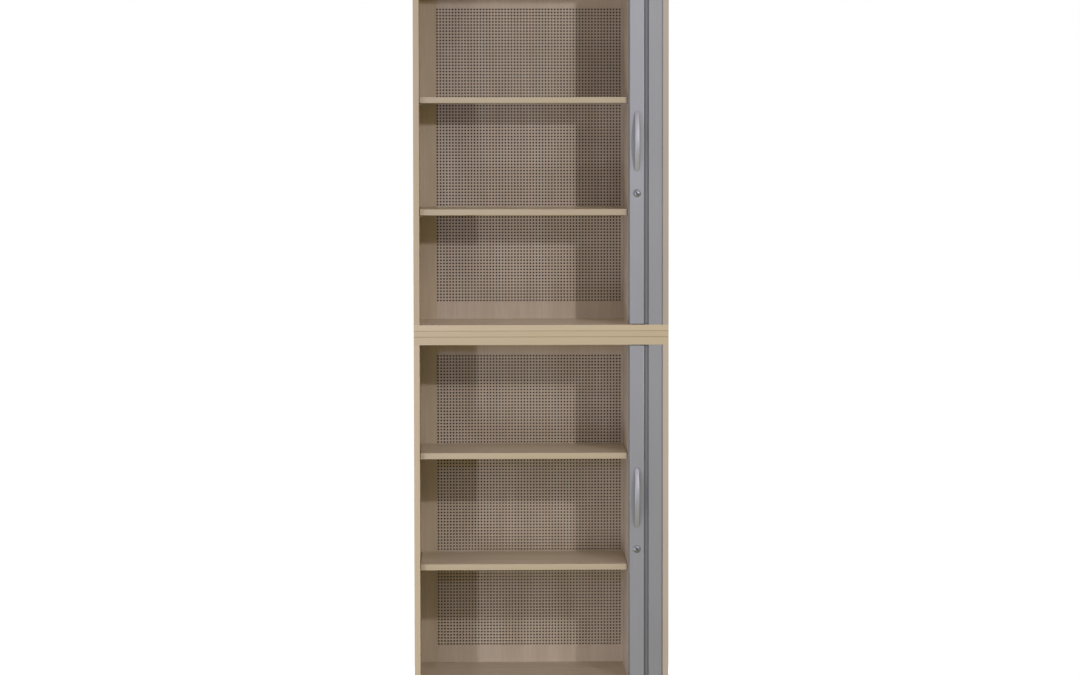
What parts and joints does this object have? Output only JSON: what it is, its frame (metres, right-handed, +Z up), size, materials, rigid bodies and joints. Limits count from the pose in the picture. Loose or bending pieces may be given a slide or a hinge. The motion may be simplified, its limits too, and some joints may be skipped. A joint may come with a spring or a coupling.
{
  "type": "office cabinet",
  "caption": "Tall open-front office cabinet of two stacked units with shelves, perforated backs and sideways roller shutters with bow handles and locks.",
  "frame": {"origin": "middle of the bounding box's base: the floor under the middle of the whole depth, handles included", "axes": "+X to the cabinet's right seen from the front, +Y from the front to the back, +Z up"},
  "size_m": [0.8, 0.45, 2.246],
  "materials": {
    "maple_board": "satin melamine with fine grain",
    "perforated_board": "satin melamine, drilled all over",
    "black_fleece": "matte",
    "absorber_mat": "matte",
    "slat_plastic": "satin",
    "bar_aluminium": "fine matte anodised",
    "strip_lacquer": "satin lacquer",
    "dark_plastic": "matte",
    "handle_satin": "satin",
    "lock_chrome": "polished",
    "zinc_steel": "zinc plated",
    "foot_plastic": "matte"
  },
  "bodies": {
    "cabinet": {"lower_bottom_panel": "maple_board", "lower_top_panel": "maple_board", "lower_left_side": "maple_board", "lower_right_side": "maple_board", "lower_partition": "maple_board", "lower_perforated_back": "perforated_board", "lower_acoustic_fleece": "black_fleece", "lower_absorber_mat": "absorber_mat", "lower_outer_back": "maple_board", "lower_shelf_1": "maple_board", "lower_shelf_2": "maple_board", "lower_shelf_pins": "zinc_steel", "lower_bottom_track": "dark_plastic", "lower_top_track": "dark_plastic", "lower_cover_strip": "strip_lacquer", "lower_curtain": "slat_plastic", "lower_strike_plate": "zinc_steel", "lower_carcass_fittings": "zinc_steel", "upper_bottom_panel": "maple_board", "upper_top_panel": "maple_board", "upper_left_side": "maple_board", "upper_right_side": "maple_board", "upper_partition": "maple_board", "upper_perforated_back": "perforated_board", "upper_acoustic_fleece": "black_fleece", "upper_absorber_mat": "absorber_mat", "upper_outer_back": "maple_board", "upper_shelf_1": "maple_board", "upper_shelf_2": "maple_board", "upper_shelf_pins": "zinc_steel", "upper_bottom_track": "dark_plastic", "upper_top_track": "dark_plastic", "upper_cover_strip": "strip_lacquer", "upper_curtain": "slat_plastic", "upper_strike_plate": "zinc_steel", "upper_carcass_fittings": "zinc_steel", "middle_cover_panel": "maple_board", "unit_screws": "zinc_steel", "foot_sockets": "dark_plastic"},
    "lower_shutter": {"lower_shutter_bar": "bar_aluminium", "lower_bar_glides": "dark_plastic", "lower_handle": "handle_satin", "lower_handle_screws": "zinc_steel", "lower_lock_body": "lock_chrome", "lower_lead_slat": "slat_plastic"},
    "lower_lock": {"lower_lock_plug": "lock_chrome", "lower_lock_cam": "zinc_steel"},
    "upper_shutter": {"upper_shutter_bar": "bar_aluminium", "upper_bar_glides": "dark_plastic", "upper_handle": "handle_satin", "upper_handle_screws": "zinc_steel", "upper_lock_body": "lock_chrome", "upper_lead_slat": "slat_plastic"},
    "upper_lock": {"upper_lock_plug": "lock_chrome", "upper_lock_cam": "zinc_steel"},
    "foot_front_left": {"foot_front_left": "foot_plastic"},
    "foot_front_right": {"foot_front_right": "foot_plastic"},
    "foot_rear_left": {"foot_rear_left": "foot_plastic"},
    "foot_rear_right": {"foot_rear_right": "foot_plastic"}
  },
  "joints": [
    {"name": "lower_shutter_slide", "type": "slide", "parent": "cabinet", "child": "lower_shutter", "axis": [-1, 0, 0], "range_m": [0, 0.6585], "deforming": ["lower_curtain"]},
    {"name": "lower_lock_turn", "type": "hinge", "parent": "lower_shutter", "child": "lower_lock", "pos_m": [0.30075, -0.2, 0.456], "axis": [0, 1, 0], "range_deg": [0, 90]},
    {"name": "upper_shutter_slide", "type": "slide", "parent": "cabinet", "child": "upper_shutter", "axis": [-1, 0, 0], "range_m": [0, 0.6585], "deforming": ["upper_curtain"]},
    {"name": "upper_lock_turn", "type": "hinge", "parent": "upper_shutter", "child": "upper_lock", "pos_m": [0.30075, -0.2, 1.576], "axis": [0, 1, 0], "range_deg": [0, 90]},
    {"name": "foot_front_left_turn", "type": "hinge", "parent": "cabinet", "child": "foot_front_left", "pos_m": [-0.345, -0.145, 0], "axis": [0, 0, 1], "continuous": true},
    {"name": "foot_front_right_turn", "type": "hinge", "parent": "cabinet", "child": "foot_front_right", "pos_m": [0.345, -0.145, 0], "axis": [0, 0, 1], "continuous": true},
    {"name": "foot_rear_left_turn", "type": "hinge", "parent": "cabinet", "child": "foot_rear_left", "pos_m": [-0.345, 0.17, 0], "axis": [0, 0, 1], "continuous": true},
    {"name": "foot_rear_right_turn", "type": "hinge", "parent": "cabinet", "child": "foot_rear_right", "pos_m": [0.345, 0.17, 0], "axis": [0, 0, 1], "continuous": true}
  ]
}
